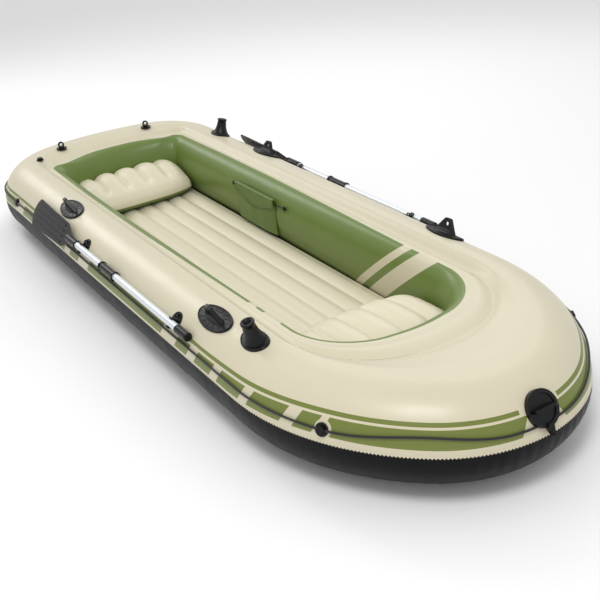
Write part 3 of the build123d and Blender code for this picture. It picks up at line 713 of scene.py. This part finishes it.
def half_width_at(shape, x):
    """Half width of an outline at x."""
    points, _ = outline(shape)
    port = points[: len(points) // 2 + 1]
    order = np.argsort(port[:, 0])
    return np.interp(x, port[order, 0], port[order, 1])


def floor_row(x, half, shares, swell):
    """Points across the floor at x: crowned channels, dropping at the floor's edges."""
    ends = float(smooth_step(*STERN_DROP_RUN, x) * (1 - smooth_step(*BOW_DROP_RUN, x)))
    deep = SHALLOW + (1 - SHALLOW) * float(smooth_step(*SHALLOW_RUN, x))
    row = []
    for share in shares:
        y = share * half
        across = (y + COCKPIT / 2) / CHANNEL_PITCH
        cell = min(max(int(across), 0), CHANNELS - 1)
        local = 2 * (across - cell) - 1
        arch = 1.0 - min(abs(local), 1.0) ** CHANNEL_POWER
        ripple = sum(
            swell[cell, k] * math.sin((k + 2) * 2.1 * x + 1.7 * k) for k in range(SWELL_WAVES)
        )
        z = FLOOR_Z - CHANNEL_DEPTH * deep * (1 - arch) + SWELL * ripple * arch
        side = float(smooth_step(SIDE_DROP_FROM, 1.0, abs(share)))
        row.append((x, y, z - EDGE_DROP * side - EDGE_DROP * (1 - ends)))
    return row


def floor_vinyl():
    """Cream vinyl, darker along the welds between the channels."""
    paint = Paint("floor_vinyl", 0.42)
    across = paint.math("ADD", paint.axis(1), COCKPIT / 2)
    weld = paint.math("MULTIPLY", across, 1 / CHANNEL_PITCH)
    local = paint.math("ABSOLUTE", paint.math("SUBTRACT", paint.math("FRACT", weld), 0.5))
    seam = paint.math("GREATER_THAN", local, WELD_FROM)
    paint.color(paint.shade(paint.mix(seam, CREAM, WELD_SHADOW), 0.03))
    paint.rough(0.36, 0.5, 12.0)
    paint.bumps(
        (paint.noise(9.0, 2.0, (0.4, 1.0, 1.0)), 0.004, 0.3),
        (paint.cells(GRAIN), 0.0002, 0.15),
    )
    return paint.material


def make_floor():
    """Channelled air floor, its edge tucked under the wall."""
    _, bow, stern = FLOOR_LINE
    xs = np.linspace(FLOOR_MARGIN - stern[0], bow[0] - FLOOR_MARGIN, FLOOR_ROWS)
    halves = np.maximum(half_width_at(FLOOR_LINE, xs), FLOOR_MARGIN)
    shares = np.linspace(-1.0, 1.0, FLOOR_COLUMNS)
    rng = np.random.default_rng(FLOOR_SEED)
    swell = rng.normal(0.0, 1.0, (CHANNELS, SWELL_WAVES))
    verts = []
    for x, half in zip(xs, halves):
        verts.extend(floor_row(x, half, shares, swell))
    obj = mesh_object("floor_skin", verts, grid_faces(FLOOR_ROWS, FLOOR_COLUMNS, False))
    finish_piece(obj, floor_vinyl(), "hull", "floor_vinyl", "floor")


# ---------------------------------------------------------------- seat cushions
SEAT_HALF = 0.293
SEAT_GRID = (64, 120)
LOBES = 5
LOBE_POWER = 2.3  # how square a lobe's crown is
CORNER_PULL = 0.10
SIDE_PULL = 0.09
PULL_POWER = 3.4
VALLEY = 0.026
SCALLOP = 0.018
NOTCH = 0.018  # share of its reach that a valley pulls the edge in
CREST_LEAN = 0.75
PINCH = 0.0022  # puckers along the seam
PINCHES = 34.0
PINCH_FROM = 0.70
SEAT_CLEARANCE = 0.0015
PIPING_RADIUS = 0.0022
Cushion = namedtuple("Cushion", "name back front seam crest facing fade")
CUSHIONS = (
    Cushion("stern_seat", -1.320, -1.007, (0.116, 0.190), (0.182, 0.240), 1, (0.25, 0.75)),
    Cushion("bow_seat", 0.718, 1.088, (0.145, 0.165), (0.226, 0.234), -1, (0.6, 1.1)),
)


def seat_points(cushion, u, v):
    """Points of the top and the bottom sheet at u along and v across, both -1 to 1."""
    forward = u * cushion.facing  # 1 at the edge that faces the middle of the boat
    lean = (1 - forward) / 2
    cell = min(int((v + 1) / 2 * LOBES), LOBES - 1)
    local = 2 * ((v + 1) / 2 * LOBES - cell) - 1
    dip = float(1 - smooth_step(*cushion.fade, forward)) * abs(local) ** LOBE_POWER
    edge = (1 - abs(u) ** 3.2) * (1 - abs(v) ** 4.0)
    puff = max(edge, 0.0) ** 0.45
    pull_u = 1 - CORNER_PULL * (1.2 + forward) * abs(v) ** PULL_POWER - NOTCH * dip
    pull_v = 1 - SIDE_PULL * abs(u) ** PULL_POWER
    middle, reach = (cushion.back + cushion.front) / 2, (cushion.front - cushion.back) / 2
    x = middle + reach * u * pull_u
    y = SEAT_HALF * v * pull_v
    front_seam, back_seam = cushion.seam
    seam_z = front_seam + (back_seam - front_seam) * lean - SCALLOP * dip * lean
    front_crest, back_crest = cushion.crest
    top_z = front_crest + (back_crest - front_crest) * float(smooth_step(0.0, CREST_LEAN, lean))
    rim = float(smooth_step(PINCH_FROM, 1.0, max(abs(u), abs(v))))
    pinch = PINCH * rim * (math.sin(PINCHES * v) + math.sin(0.6 * PINCHES * u))
    top = (x, y, seam_z + (top_z - seam_z - VALLEY * dip + pinch) * puff)
    sag = max((1 - abs(u) ** 6) * (1 - abs(v) ** 8), 0.0) ** 0.5
    return top, (x, y, seam_z + (FLOOR_Z + SEAT_CLEARANCE - seam_z) * sag)


def seat_sheets(cushion):
    """Top and bottom sheet points of a cushion, joined along its seam."""
    rows, columns = SEAT_GRID
    pairs = [
        seat_points(cushion, -1 + 2 * i / rows, -1 + 2 * j / columns)
        for i in range(rows + 1)
        for j in range(columns + 1)
    ]
    return np.array([top for top, _ in pairs]), np.array([bottom for _, bottom in pairs])


def cushion_vinyl(name):
    """Cream on top and at the seam, green underneath."""
    paint = Paint(name + "_vinyl", 0.4)
    cream = paint.math("GREATER_THAN", paint.field("side"), -0.001)
    paint.color(paint.shade(paint.mix(cream, WALL_GREEN, CREAM), 0.035))
    paint.rough(0.34, 0.48, 14.0)
    paint.bumps(
        (paint.noise(13.0, 3.0, (0.6, 1.0, 1.0)), 0.006, 0.35),
        (paint.cells(GRAIN), 0.0002, 0.15),
    )
    return paint.material


def make_seat(cushion):
    """Lobed cushion of two sheets that share the points of their seam."""
    name = cushion.name
    top, bottom = seat_sheets(cushion)
    grid = [size + 1 for size in SEAT_GRID]
    seam = border_loop(*grid)
    shared = set(seam)
    remap, verts, side = {}, list(top), [1.0] * len(top)
    for index, point in enumerate(bottom):
        if index in shared:
            remap[index] = index
            side[index] = 0.0
        else:
            remap[index] = len(verts)
            verts.append(point)
            side.append(-1.0)
    sheet = grid_faces(*grid, False)
    faces = [face[::-1] for face in sheet]
    faces += [tuple(remap[k] for k in face) for face in sheet]
    obj = mesh_object(name + "_cushion", verts, faces, {"side": side})
    finish_piece(obj, cushion_vinyl(name), name, "cushion_vinyl", name)
    cord = tube(name + "_piping", top[seam], PIPING_RADIUS, 8)
    finish_piece(cord, plain_vinyl(name + "_piping_vinyl", PIPING_GREEN, 0.0), name, "green_vinyl")


# ---------------------------------------------------------------- tubes along paths
STRAND_DEPTH = 0.16  # share of a rope's radius between its strands


def tube_parts(path, radius, sides, closed=True, lobes=0, pitch=0.03):
    """Points and faces of a tube along a path; with lobes, the section is a twisted rope's."""
    path = np.asarray(path, float)
    after = np.roll(path, -1, 0) if closed else np.vstack([path[1:], path[-1:]])
    before = np.roll(path, 1, 0) if closed else np.vstack([path[:1], path[:-1]])
    ahead = after - before
    ahead /= np.linalg.norm(ahead, axis=1)[:, None]
    side = np.cross(ahead, (0.0, 0.0, 1.0))
    side /= np.linalg.norm(side, axis=1)[:, None]
    up = np.cross(side, ahead)
    run = np.concatenate([[0.0], np.cumsum(np.linalg.norm(np.diff(path, axis=0), axis=1))])
    turns = np.linspace(0, 2 * math.pi, sides, endpoint=False)
    verts = []
    for point, s, u, reached in zip(path, side, up, run):
        twist = reached / pitch * 2 * math.pi if lobes else 0.0
        for turn in turns:
            strand = abs(math.cos(lobes / 2 * (turn - twist)))  # 1 all round without lobes
            r = radius * (1 + STRAND_DEPTH * (strand - 1))
            verts.append(point + r * (math.cos(turn) * s + math.sin(turn) * u))
    faces = grid_faces(len(path), sides, closed, True)
    if not closed:
        faces.append(list(range(sides)))
        faces.append([(len(path) - 1) * sides + k for k in range(sides)][::-1])
    return verts, faces


def tube(name, path, radius, sides, **shape):
    """Tube as an object of its own."""
    return mesh_object(name, *tube_parts(path, radius, sides, **shape))


# ---------------------------------------------------------------- grab rope
ROPE_RADIUS = 0.004
ROPE_STANDOFF = 0.005
ROPE_ANGLE = math.radians(20.0)
ROPE_PITCH = 0.026
ROPE_TAUT = math.radians(7.0)  # the taut stretches beside the bow handle run higher
ROPE_TAUT_RUN = (0.10, 0.38, 0.68)  # metres from the bow tip: start, highest, end
ROPE_SPACING = 0.004


def make_rope():
    """Grab rope round the hull, a little above the shoulder's middle."""
    line, out = dense_line(HULL, ROPE_SPACING)
    start, top, end = ROPE_TAUT_RUN
    path = []
    for point, normal, run in zip(line, out, along(line)):
        taut = float(smooth_step(start, top, run) * (1 - smooth_step(top, end, run)))
        angle = ROPE_ANGLE + ROPE_TAUT * taut
        level = (SHOULDER + ROPE_STANDOFF) * math.cos(angle)
        z = SHOULDER_Z + (SHOULDER + ROPE_STANDOFF) * math.sin(angle)
        path.append((*(point - normal * (SHOULDER - level)), z))
    obj = tube("grab_rope_cord", path, ROPE_RADIUS, 12, lobes=3, pitch=ROPE_PITCH)
    paint = Paint("black_cord", 0.62, sheen=0.2)
    paint.color(paint.shade(CORD_BLACK, 0.2, 60.0))
    paint.bumps((paint.noise(900.0, 2.0), 0.0004, 0.5))
    finish_piece(obj, paint.material, "hull", "black_cord", "grab_rope")


# ---------------------------------------------------------------- storage pouch
POUCH_GRID = (28, 44)
POUCH_BACK = 0.001  # from the wall to the back of the bag
POUCH_SEAM = 0.003  # from the wall to the bag's seam
POUCH_TAPER = 0.02
MOUTH_SAG = 0.010
FOLD = 0.0022
FLAP_GRID = (40, 16)
FLAP_THICK = 0.0018
FLAP_TOP = 0.001
FLAP_SIDE_DROP = 0.038
FLAP_TIP_DROP = 0.082
FLAP_TIP_HALF = 0.030
FLAP_FACE = 0.0006
FLAP_HINGE = 0.0005
FLAP_CURL = 0.0008
# raised above the hem by, and pulled in from the flap's corners by
FLAP_LINES = {"welt": (0.0, 0.0), "stitching": (0.012, 0.014)}
FLAP_LINE_FACE = 0.0004
FLAP_LINE_RADIUS = 0.0014
FLAP_LINE_STEPS = 61


def pouch_points(low, high):
    """Points of the bag's bulged front and flat back."""
    rows, columns = POUCH_GRID
    middle, half = (low.x + high.x) / 2, (high.x - low.x) / 2
    bulge = high.y - low.y - POUCH_SEAM
    front, back = [], []
    for i in range(rows + 1):
        t = i / rows  # 0 at the bottom, 1 at the mouth
        for j in range(columns + 1):
            w = -1 + 2 * j / columns
            x = middle + w * half * (1 - POUCH_TAPER * math.sin(math.pi * t))
            z = low.z + (high.z - low.z) * t - MOUTH_SAG * (1 - w * w) * t
            full = 0.55 + 0.45 * math.sin(math.pi * min(1.0, 0.15 + 0.7 * t))
            fold = FOLD * math.sin(9.0 * w + 2.0 * t) * (1 - abs(w)) * math.sin(math.pi * t)
            front.append((x, high.y - POUCH_SEAM - bulge * (1 - abs(w) ** 4) * full + fold, z))
            back.append((x, high.y - POUCH_BACK, z))
    return front + back


def make_pouch():
    """Bag on the port wall, open at its mouth."""
    rows, columns = POUCH_GRID
    count = columns + 1
    closed = [i * count for i in range(rows, -1, -1)]
    closed += range(1, count)
    closed += [i * count + columns for i in range(1, rows + 1)]
    faces = shell_faces(rows + 1, count, closed)
    obj = mesh_object("storage_pouch_bag", pouch_points(*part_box("storage_pouch")), faces)
    finish_piece(obj, pouch_vinyl(), "hull", "green_vinyl", "storage_pouch")


def pouch_vinyl():
    paint = Paint("pouch_vinyl", 0.42)
    paint.color(paint.shade(POUCH_GREEN, 0.05, 6.0))
    paint.rough(0.34, 0.5, 20.0)
    paint.bumps(
        (paint.noise(26.0, 3.0), 0.004, 0.35),
        (paint.cells(GRAIN), 0.0002, 0.2),
    )
    return paint.material


def flap_points(low, high, depth):
    """Points of one face of the flap, from the hem up and over to the hinge."""
    columns, rows = FLAP_GRID
    middle, half = (low.x + high.x) / 2, (high.x - low.x) / 2
    points = []
    for j in range(columns + 1):
        w = -1 + 2 * j / columns
        x = middle + w * half
        slope = min(max((half - abs(w) * half) / (half - FLAP_TIP_HALF), 0.0), 1.0)
        drop = FLAP_SIDE_DROP + (FLAP_TIP_DROP - FLAP_SIDE_DROP) * slope
        for i in range(rows, -1, -1):
            t = i / rows
            y = low.y + FLAP_FACE + depth + FLAP_CURL * t * t * math.cos(5 * w)
            points.append((x, y, high.z - FLAP_TOP - drop * t))
        points.append((x, high.y - FLAP_HINGE, high.z - FLAP_TOP - depth))
    return points


def flap_line(low, high, raised, inset):
    """Points along the flap's hem, raised and pulled in from its corners."""
    middle, half = (low.x + high.x) / 2, (high.x - low.x) / 2
    corners = []
    for x, drop in (
        (middle - half + inset, FLAP_SIDE_DROP),
        (middle - FLAP_TIP_HALF, FLAP_TIP_DROP),
        (middle + FLAP_TIP_HALF, FLAP_TIP_DROP),
        (middle + half - inset, FLAP_SIDE_DROP),
    ):
        corners.append((x, low.y + FLAP_LINE_FACE, high.z - FLAP_TOP - drop + raised))
    corners = np.array(corners)
    steps = np.linspace(0, len(corners) - 1, FLAP_LINE_STEPS)
    places = range(len(corners))
    return np.stack([np.interp(steps, places, corners[:, k]) for k in range(3)], 1)


def make_flap():
    """The pouch's flap with a welt along its hem and a line of stitching."""
    low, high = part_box("pouch_flap")
    columns, rows = FLAP_GRID
    border = border_loop(columns + 1, rows + 2)
    faces = shell_faces(columns + 1, rows + 2, border + border[:1])
    points = flap_points(low, high, 0.0) + flap_points(low, high, FLAP_THICK)
    obj = mesh_object("pouch_flap_sheet", points, faces)
    finish_piece(obj, pouch_vinyl(), "pouch_flap", "green_vinyl", "pouch_flap")
    for label, (raised, inset) in FLAP_LINES.items():
        path = flap_line(low, high, raised, inset)
        line = tube("pouch_flap_" + label, path, FLAP_LINE_RADIUS, 6, closed=False)
        vinyl = plain_vinyl(label + "_vinyl", WELT_GREEN, 0.0)
        finish_piece(line, vinyl, "pouch_flap", "green_vinyl")


# ---------------------------------------------------------------- moulded fittings
OARLOCKS = [(x, side, 23.0) for x in (-0.640, 0.700) for side in (-1, 1)]
OARLOCK_BASE = (0.100, 0.048)  # half length and half width
OARLOCK_THICK = 0.0063
ROD_HOLDERS = {"starboard_rod_holder": (0.930, -1), "port_rod_holder": (-1.070, 1)}
ROD_TILT = 15.5
ROD_BASE = (0.066, 0.044)
ROD_HEIGHT = 0.082
ROD_BORE = 0.015
ROD_SIDES = 40
# share of the cone's height and radius, up the outside and down the bore
ROD_FLARE = (
    (0.0, 0.041),
    (0.10, 0.036),
    (0.25, 0.031),
    (0.45, 0.0262),
    (0.7, 0.0235),
    (0.90, 0.0215),
    (0.905, 0.0245),
    (0.98, 0.0245),
    (1.0, 0.0225),
    (1.0, ROD_BORE),
    (0.12, ROD_BORE),
)
PLATE_SIDES = 56
PLATE_BEDDED = 0.0004
# share of an oval plate's size and of its thickness, from the middle outwards
PLATE_RINGS = (
    (0.0, 1.0),
    (0.35, 1.0),
    (0.65, 1.0),
    (0.90, 1.0),
    (0.97, 0.85),
    (1.0, 0.4),
    (1.0, 0.0),
)
TRIM_INSET = 0.004
TRIM_RADIUS = 0.0022
RIB_RADIUS = 0.0011
RIB_REACH = (0.55, 0.92)  # shares of the plate's size
RIBS = 14
RIB_START = 0.22
GUSSET_GRID = (10, 16)
GUSSET_HEIGHT = 0.020
GUSSET_HALF = (0.058, 0.042)  # half length at the foot and at the top
GUSSET_CORE = 0.006
GUSSET_TOP = 0.0066
GUSSET_SPREAD = 0.017
GUSSET_SUNK = 0.001


class Seat:
    """Local frame of a fitting seated on a straight side's shoulder."""

    def __init__(self, x, side, tilt):
        lean = math.radians(tilt)
        self.centre = np.array((x, side * (HULL[0] - SHOULDER), SHOULDER_Z))
        self.ahead = np.array((1.0, 0.0, 0.0))
        self.up = np.array((0.0, side * math.sin(lean), math.cos(lean)))
        self.across = np.array((0.0, side * math.cos(lean), -math.sin(lean)))

    def at(self, ahead, across, up):
        """Point above the tangent plane."""
        return (
            self.centre + ahead * self.ahead + across * self.across
            + (SHOULDER + up) * self.up
        )

    def bent(self, ahead, across, rise):
        """Point above the curved shoulder."""
        radius = SHOULDER + rise
        height = math.sqrt(radius**2 - across**2) - SHOULDER
        return self.at(ahead, across, height)


def round_turns(count):
    """Even angles once round."""
    return np.linspace(0, 2 * math.pi, count, endpoint=False)


def merged(name, parts):
    """One object of several (points, faces) parts."""
    verts, faces = [], []
    for part_verts, part_faces in parts:
        first = len(verts)
        verts.extend(part_verts)
        faces.extend(tuple(first + k for k in face) for face in part_faces)
    return mesh_object(name, verts, faces)


def plate_trim(seat, size, rise):
    """Raised rim and radial ribs on an oval base plate."""
    rim = [
        seat.bent((size[0] - TRIM_INSET) * math.cos(t), (size[1] - TRIM_INSET) * math.sin(t), rise)
        for t in round_turns(72)
    ]
    parts = [tube_parts(rim, TRIM_RADIUS, 8)]
    for t in round_turns(RIBS) + RIB_START:
        rib = [
            seat.bent(size[0] * k * math.cos(t), size[1] * k * math.sin(t), rise)
            for k in np.linspace(*RIB_REACH, 6)
        ]
        parts.append(tube_parts(rib, RIB_RADIUS, 6, closed=False))
    return parts


def gusset(seat, hand):
    """Hollow-sided flank that widens the foot of an oarlock's fin."""
    rows, columns = GUSSET_GRID
    foot, top = GUSSET_HALF
    outer, inner = [], []
    for i in range(rows + 1):
        h = i / rows
        up = OARLOCK_THICK - GUSSET_SUNK + GUSSET_HEIGHT * h
        for j in range(columns + 1):
            w = -1 + 2 * j / columns
            reach = foot - (foot - top) * h
            thick = GUSSET_TOP + GUSSET_SPREAD * (1 - h) ** 2 * (1 - abs(w) ** 3)
            outer.append(seat.at(w * reach, hand * thick, up))
            inner.append(seat.at(w * reach, hand * GUSSET_CORE, up))
    border = border_loop(rows + 1, columns + 1)[::-1]
    faces = shell_faces(rows + 1, columns + 1, border + border[:1])
    if hand > 0:
        faces = [face[::-1] for face in faces]
    return outer + inner, faces


def rod_cone(seat):
    """Hollow flared cone with a thick lip."""
    verts = []
    for share, radius in ROD_FLARE:
        height = OARLOCK_THICK + share * (ROD_HEIGHT - OARLOCK_THICK)
        for turn in round_turns(ROD_SIDES):
            verts.append(seat.at(radius * math.cos(turn), radius * math.sin(turn), height))
    faces = grid_faces(len(ROD_FLARE), ROD_SIDES, False, True)
    faces.append([(len(ROD_FLARE) - 1) * ROD_SIDES + k for k in range(ROD_SIDES)])
    return verts, faces


def oval_plate(seat, size):
    """Base plate bent round the shoulder, with a rounded edge."""
    verts = []
    for share, height in PLATE_RINGS:
        rise = PLATE_BEDDED + height * (OARLOCK_THICK - PLATE_BEDDED)
        for t in round_turns(PLATE_SIDES):
            ahead, across = size[0] * share * math.cos(t), size[1] * share * math.sin(t)
            verts.append(seat.bent(ahead, across, rise))
    return verts, grid_faces(len(PLATE_RINGS), PLATE_SIDES, False, True)


def make_fitting_details():
    """Ribs and gussets on the oarlocks, and the two rod holders."""
    rubber = moulded("ribbed_rubber", BLACK, 0.28, 0.40)
    trims = []
    for x, side, tilt in OARLOCKS:
        seat = Seat(x, side, tilt)
        trims += plate_trim(seat, OARLOCK_BASE, OARLOCK_THICK)
        trims += [gusset(seat, hand) for hand in (-1, 1)]
    finish_piece(merged("oarlock_ribs", trims), rubber, "hull", "black_rubber")
    for name, (x, side) in ROD_HOLDERS.items():
        seat = Seat(x, side, ROD_TILT)
        parts = [oval_plate(seat, ROD_BASE), rod_cone(seat)]
        parts += plate_trim(seat, ROD_BASE, OARLOCK_THICK)
        finish_piece(merged(name + "_moulding", parts), rubber, "hull", "black_rubber", name)


def moulded(name, color, low, high):
    """Moulded rubber or plastic with a roughness from low to high."""
    paint = Paint(name, 0.35, specular=0.3)
    paint.color(paint.shade(color, 0.12, 20.0))
    paint.rough(low, high, 40.0)
    paint.bumps((paint.noise(420.0, 3.0), 0.0004, 0.25))
    return paint.material


def brushed_shaft():
    paint = Paint("shaft_aluminium", 0.32, coat=0.2, metallic=0.45)
    paint.color(paint.shade(ALUMINIUM, 0.03, 30.0))
    paint.rough(0.25, 0.4, 60.0)
    paint.bumps((paint.noise(500.0, 2.0, (0.02, 1.0, 1.0)), 0.0002, 0.2))
    return paint.material


def dress_fittings():
    """Materials of the CAD nodes that stay visible."""
    rubber = moulded("black_rubber", BLACK, 0.30, 0.42)
    plastic = moulded("black_plastic", BLACK, 0.22, 0.34)
    shaft = brushed_shaft()
    for name, node in NODES.items():
        if node.hide_render:
            continue
        material = rubber
        if name.endswith("_shaft"):
            material = shaft
        elif "_oar_" in name or "cap" in name:
            material = plastic
        node.data.materials.clear()
        node.data.materials.append(material)


# ---------------------------------------------------------------- studio
WORLD_LIGHT = 0.74
FLOOR_HALF = 30.0
# name, place, aim, size and power
LIGHTS = (
    ("key", (2.5, -1.5, 4.2), (0.3, 0.0, 0.2), (1.4, 1.4), 78.0),
    ("stern", (-4.2, -0.9, 3.2), (0.2, 0.2, 0.2), (1.2, 3.0), 48.0),
    ("fill", (-2.5, 3.0, 3.2), (0.0, 0.0, 0.2), (3.0, 3.0), 30.0),
)


def area_light(name, place, aim, size, power):
    light = bpy.data.lights.new(name, "AREA")
    light.shape = "RECTANGLE"
    light.size, light.size_y = size
    light.energy = power
    obj = bpy.data.objects.new(name, light)
    bpy.context.scene.collection.objects.link(obj)
    obj.location = place
    obj.rotation_euler = (Vector(aim) - Vector(place)).to_track_quat("-Z", "Y").to_euler()


def make_studio():
    scene = bpy.context.scene
    scene.view_settings.view_transform = "Standard"
    world = bpy.data.worlds.new("studio")
    scene.world = world
    world.use_nodes = True
    background = world.node_tree.nodes["Background"]
    background.inputs["Color"].default_value = (1.0, 1.0, 1.0, 1.0)
    background.inputs["Strength"].default_value = WORLD_LIGHT
    corners = [
        (x * FLOOR_HALF, y * FLOOR_HALF, 0) for x, y in ((-1, -1), (1, -1), (1, 1), (-1, 1))
    ]
    floor = mesh_object("studio_floor", corners, [(0, 1, 2, 3)])
    paint = Paint("studio_white", 0.8)
    paint.color((0.92, 0.92, 0.92, 1.0))
    floor.data.materials.append(paint.material)
    for light in LIGHTS:
        area_light(*light)


make_outer_chamber()
make_underside()
make_pinked_edge()
make_inner_chamber()
make_floor()
for seat_cushion in CUSHIONS:
    make_seat(seat_cushion)
make_rope()
make_pouch()
make_flap()
make_fitting_details()
dress_fittings()
make_studio()
